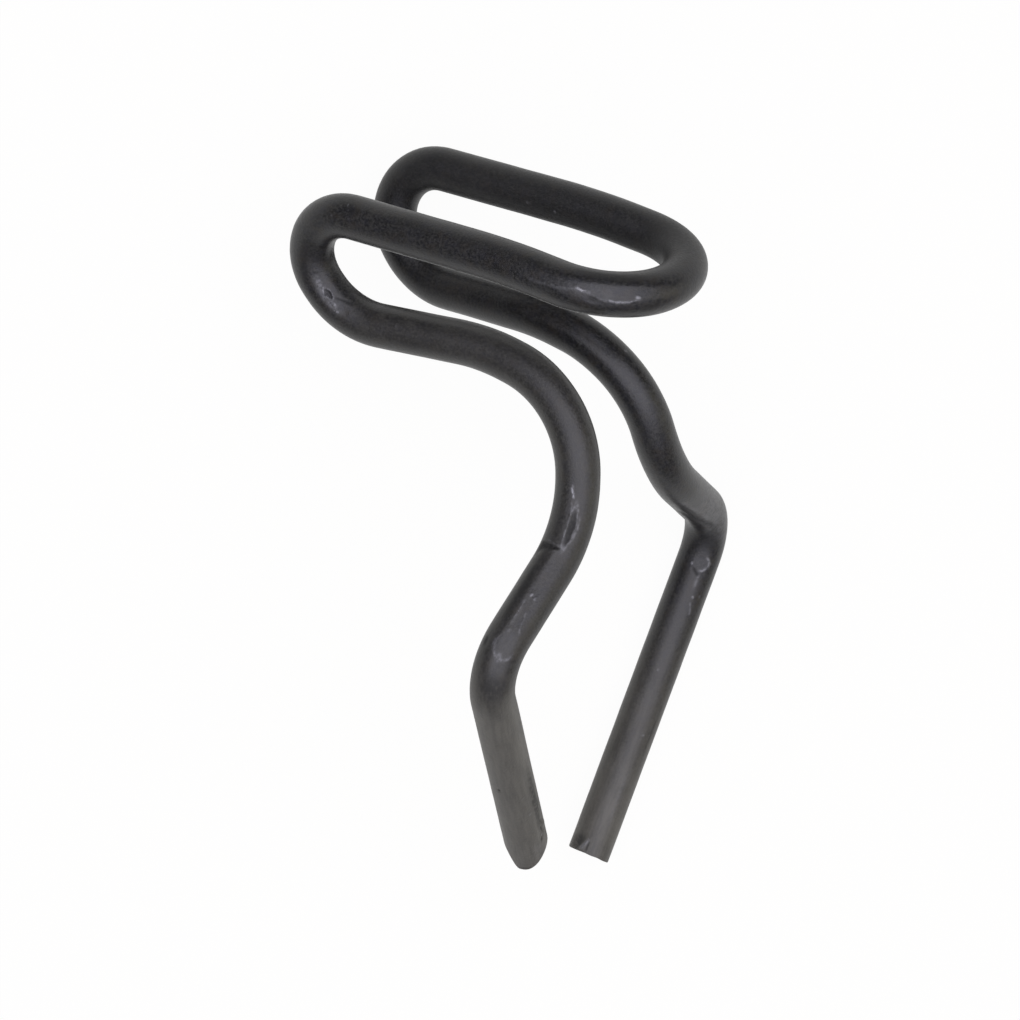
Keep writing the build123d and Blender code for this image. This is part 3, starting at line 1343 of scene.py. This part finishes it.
@dataclass(frozen=True)
class BlackSpringSteel:
    """Satin black finish of oil-blackened spring steel, worn where tools rubbed it, with painted
    highlight, painted shade and painted pale light laid into its colour where the mesh says.

    A field that ends in _at holds the values of its noise between which a colour comes in.
    """

    dark: Colour = colour(0.006, 0.006, 0.006)
    pale: Colour = colour(0.0215, 0.021, 0.0195)
    warm: Colour = colour(0.019, 0.0155, 0.012)
    cool: Colour = colour(0.0095, 0.01, 0.0145)
    # grey is pale light painted on the legs, steel is bare steel and painted highlight, and soot is
    # dark scale and painted shade.
    grey: Colour = colour(0.087, 0.083, 0.07)
    steel_and_highlight: Colour = colour(0.22, 0.22, 0.23)
    soot_and_shade_colour: Colour = colour(0.002, 0.002, 0.002)
    clouds: Clouds = Clouds(0.9, 4.0, 0.55)
    drift: Clouds = Clouds(1.7, 3.0, 0.6)
    blooms: Clouds = Clouds(3.7, 3.0, 0.7)
    grains: Clouds = Clouds(11.0, 1.5, 0.8)
    scuffs: Clouds = Clouds(6.0, 3.0, 0.6)
    streaks: Clouds = Clouds(5.0, 3.0, 0.65)
    streak_shape: tuple[float, float, float] = (1.0, 1.0, 0.16)
    cloud_share: float = 0.3
    pale_at: Range = (0.38, 0.62)
    warmth: float = 0.6
    warm_at: Range = (0.46, 0.7)
    coolness: float = 0.5
    cool_at: Range = (0.42, 0.66)
    grey_least: float = 0.27
    grey_streaks: float = 0.24
    grey_clouds: float = 0.36
    streak_at: Range = (0.36, 0.64)
    soot_and_shade_least: float = 0.4
    soot_and_shade_at: Range = (0.35, 0.55)
    bright_least: float = 0.3
    bright_at: Range = (0.4, 0.58)
    roughness: float = 0.38
    rubbed_and_highlight_roughness: float = 0.25
    grainy_roughness: float = 0.32
    soot_and_shade_roughness: float = 0.25
    painted_paleness_roughness: float = 0.1
    metallic: float = 0.8
    specular: float = 0.43
    grain_strength: float = 0.7
    grain_height: float = 0.013
    name: str = "black_spring_steel"

    def material(self) -> bpy.types.Material:
        """Builds the finish.

        Returns:
            The material, for a mesh that says where it is worn bright or painted as a highlight, where
            scale or painted shade darkens it, and where pale light is painted on it.
        """
        made = bpy.data.materials.new(self.name)
        made.use_nodes = True
        graph = Graph(made.node_tree)
        place = graph.attribute("drawn", "Vector").socket
        rubbed_and_highlight, soot_and_shade, painted_paleness = (graph.attribute(key) for key in ("rubbed_and_highlight", "soot_and_shade", "painted_paleness"))
        grains = self.grains.over(graph, place)
        scuffs = self.scuffs.over(graph, place)
        # Bare steel where marks are worn, and painted highlight where a mark stands in for reflected
        # light: both lighten the colour towards steel.
        bright = rubbed_and_highlight * self.partly(self.bright_least, scuffs.between(*self.bright_at))
        # Dark scale in hollows, and painted shade where a mark stands in for shadow: both darken the
        # colour towards soot.
        soot_and_shade_cover = soot_and_shade * self.partly(self.soot_and_shade_least, scuffs.between(*self.soot_and_shade_at))
        base = self.black(graph, place, grains)
        # Painted light: pale grey laid over the legs, and faintly over the front half, where the light
        # falls brighter.
        base = graph.mix(painted_paleness * self.painted_paleness_share(graph, place, grains), base, self.grey)
        base = graph.mix(soot_and_shade_cover, base, self.soot_and_shade_colour)
        base = graph.mix(bright, base, self.steel_and_highlight)
        rough = self.roughness + self.grainy_roughness * (grains - 0.5)
        rough = rough - (self.roughness - self.rubbed_and_highlight_roughness) * bright
        rough = rough + self.soot_and_shade_roughness * soot_and_shade + self.painted_paleness_roughness * painted_paleness
        relief = {"Strength": self.grain_strength, "Distance": self.grain_height * MM, "Height": grains}
        inputs = {
            "Base Color": base,
            "Roughness": rough,
            "Metallic": self.metallic * bright,
            "Specular IOR Level": self.specular,
            "Normal": graph.node("ShaderNodeBump", {}, relief).outputs[0],
        }
        shader = graph.node("ShaderNodeBsdfPrincipled", {}, inputs)
        graph.node("ShaderNodeOutputMaterial", {}, {"Surface": shader.outputs[0]})
        return made

    @staticmethod
    def partly(least: float, spread: Signal) -> Signal:
        """A share that never falls below its least."""
        return least + (1 - least) * spread

    def black(self, graph: Graph, place: bpy.types.NodeSocket, grains: Signal) -> bpy.types.NodeSocket:
        """Mottles the unworn black, with warm and cool tinges.

        Args:
            graph: The material that it is for.
            place: Where each point lies on the drawn wire.
            grains: The finest noise.

        Returns:
            The colour.
        """
        clouds = self.clouds.over(graph, place)
        mottle = (self.cloud_share * clouds + (1 - self.cloud_share) * grains).between(*self.pale_at)
        base = graph.mix(mottle, self.dark, self.pale)
        drift = self.drift.over(graph, place).between(*self.warm_at)
        base = graph.mix(self.warmth * drift, base, self.warm)
        blooms = self.blooms.over(graph, place).between(*self.cool_at)
        return graph.mix(self.coolness * blooms, base, self.cool)

    def painted_paleness_share(self, graph: Graph, place: bpy.types.NodeSocket, grains: Signal) -> Signal:
        """How unevenly the painted pale light of the legs shows, in clouds, grains and streaks along
        the wire.

        Args:
            graph: The material that it is for.
            place: Where each point lies on the drawn wire.
            grains: The finest noise.

        Returns:
            The share of the grey that shows.
        """
        inputs = {"Vector": place, "Scale": self.streak_shape}
        lengthwise = graph.node("ShaderNodeMapping", {}, inputs).outputs[0]
        streaks = self.streaks.over(graph, lengthwise).between(*self.streak_at)
        worn = self.grey_least + self.grey_streaks * streaks
        return worn + self.grey_clouds * (self.clouds.over(graph, place) + grains)


@dataclass(frozen=True)
class Softbox:
    """A round soft light, aimed at the clip, with its distance and size in metres."""

    name: str
    azimuth: float
    elevation: float
    distance: float
    size: float
    radiance: float
    tint: tuple[float, float, float]

    def light(self, target: Vector) -> bpy.types.Object:
        """Hangs the light, with its power set from its radiance.

        Args:
            target: The point that it is aimed at, in metres.

        Returns:
            The lamp.
        """
        data = bpy.data.lights.new(self.name, "AREA")
        data.shape = "DISK"
        data.size = self.size
        data.color = self.tint
        data.energy = self.radiance * math.pi * math.pi * self.size**2 / 4
        lamp = bpy.data.objects.new(self.name, data)
        back = bearing(self.azimuth, self.elevation)
        lamp.location = target + back * self.distance
        lamp.rotation_mode = "QUATERNION"
        lamp.rotation_quaternion = (-back).to_track_quat("-Z", "Y")
        bpy.context.scene.collection.objects.link(lamp)
        return lamp


@dataclass(frozen=True)
class Viewpoint:
    """The camera: nearly overhead, rolled about its own axis, and aimed beside the centre."""

    azimuth: float = -117.031
    elevation: float = 78.427
    roll: float = 136.768
    distance: float = 163.2
    lens: float = 161.76
    aside: tuple[float, float, float] = (0.671, 0.285, 0.096)
    nearest: float = 10.0
    farthest: float = 10000.0

    def camera(self, centre: Vector) -> bpy.types.Object:
        """Sets up the camera.

        Args:
            centre: The middle of the clip's box, in metres.

        Returns:
            The camera object.
        """
        back = bearing(self.azimuth, self.elevation)
        level = bearing(self.azimuth + 90, 0)
        upright = back.cross(level)
        roll = math.radians(self.roll)
        right = level * math.cos(roll) + upright * math.sin(roll)
        data = bpy.data.cameras.new("camera")
        data.lens = self.lens
        data.clip_start, data.clip_end = self.nearest * MM, self.farthest * MM
        made = bpy.data.objects.new("camera", data)
        turned = Matrix((right, back.cross(right), back)).transposed().to_4x4()
        stand = centre + Vector(self.aside) * MM + back * self.distance * MM
        made.matrix_world = Matrix.Translation(stand) @ turned
        bpy.context.scene.collection.objects.link(made)
        bpy.context.scene.camera = made
        return made


@dataclass(frozen=True)
class Studio:
    """A plain white floor under soft light."""

    floor_half: float = 3000.0
    floor_gap: float = 0.01
    whiteness: float = 0.96
    white: Colour = colour(1.0, 1.0, 1.0)
    floor_tint: Colour = colour(0.69, 0.65, 0.57)
    ambient: float = 0.06
    boxes: tuple[Softbox, ...] = (
        Softbox("softbox_above", -177.0, 85.0, 0.45, 0.7, 1.35, (1.0, 0.985, 1.1)),
        Softbox("softbox_wide", -22.0, 85.0, 0.45, 1.2, 1.05, (1.0, 0.985, 1.1)),
        Softbox("panel_beside", 108.0, 23.0, 0.6, 0.44, 1.1, (1.05, 1.0, 0.84)),
    )

    def floor(self) -> bpy.types.Object:
        """Lays a large floor that is white to the eye and keeps the clip's soft shadow.

        Returns:
            The floor.
        """
        reach, low = self.floor_half * MM, -self.floor_gap * MM
        mesh = bpy.data.meshes.new("floor")
        corners = [(x * reach, y * reach, low) for x, y in ((-1, -1), (1, -1), (1, 1), (-1, 1))]
        mesh.from_pydata(corners, [], [(0, 1, 2, 3)])
        made = bpy.data.objects.new("floor", mesh)
        mesh.materials.append(self.floor_material())
        bpy.context.scene.collection.objects.link(made)
        made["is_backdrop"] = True
        return made

    def floor_material(self) -> bpy.types.Material:
        """Warm white paper, so bright that it is plain white to the eye and in reflections.

        Returns:
            The material.
        """
        made = bpy.data.materials.new("white_paper")
        made.use_nodes = True
        graph = Graph(made.node_tree)
        paper = graph.node("ShaderNodeBsdfDiffuse", {}, {"Color": self.floor_tint})
        white = graph.node("ShaderNodeEmission", {}, {"Color": self.white, "Strength": 1.0})
        path = graph.node("ShaderNodeLightPath", {}, {})
        seen = Signal(graph, path.outputs["Is Camera Ray"])
        for ray in ("Is Glossy Ray", "Is Transmission Ray"):
            seen = seen.over(Signal(graph, path.outputs[ray]))
        inputs = {0: self.whiteness * seen, 1: paper.outputs[0], 2: white.outputs[0]}
        shader = graph.node("ShaderNodeMixShader", {}, inputs)
        graph.node("ShaderNodeOutputMaterial", {}, {"Surface": shader.outputs[0]})
        return made

    def world(self) -> bpy.types.World:
        """Dim, even light from all round.

        Returns:
            The world.
        """
        made = bpy.data.worlds.new("studio_air")
        made.use_nodes = True
        graph = Graph(made.node_tree)
        inputs = {"Color": self.white, "Strength": self.ambient}
        dim = graph.node("ShaderNodeBackground", {}, inputs)
        graph.node("ShaderNodeOutputWorld", {}, {"Surface": dim.outputs[0]})
        bpy.context.scene.world = made
        return made

    def set_up(self, centre: Vector) -> None:
        """Lays the floor and hangs the lights.

        Args:
            centre: The point that the lights are aimed at, in metres.
        """
        self.floor()
        self.world()
        for box in self.boxes:
            box.light(centre)


@dataclass
class PanelClip:
    """The whole clip: its one piece of wire, finished and seated on its solid."""

    wire: SpringWire
    finish: BlackSpringSteel

    def assemble(self) -> bpy.types.Object:
        """Builds the wire over its solid and dresses it.

        Returns:
            The finished piece.
        """
        piece = self.wire.build(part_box(CLIP_NODE))
        piece.data.materials.append(self.finish.material())
        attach(piece, CLIP_BODY)
        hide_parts(CLIP_NODE)
        log.info("%s: %d faces", piece.name, len(piece.data.polygons))
        return piece


def main() -> None:
    """Loads the frame, builds the clip over its solid, and sets up the studio and camera round the
    middle of the frame's box.
    """
    logging.basicConfig(level=logging.INFO, format="%(name)s: %(message)s")
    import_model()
    solid_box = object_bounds()
    PanelClip(SpringWire(), BlackSpringSteel()).assemble()
    centre = (solid_box[0] + solid_box[1]) / 2
    Studio().set_up(centre)
    Viewpoint().camera(centre)
    view = bpy.context.scene.view_settings
    view.view_transform = "Standard"


if __name__ == "__main__":
    main()
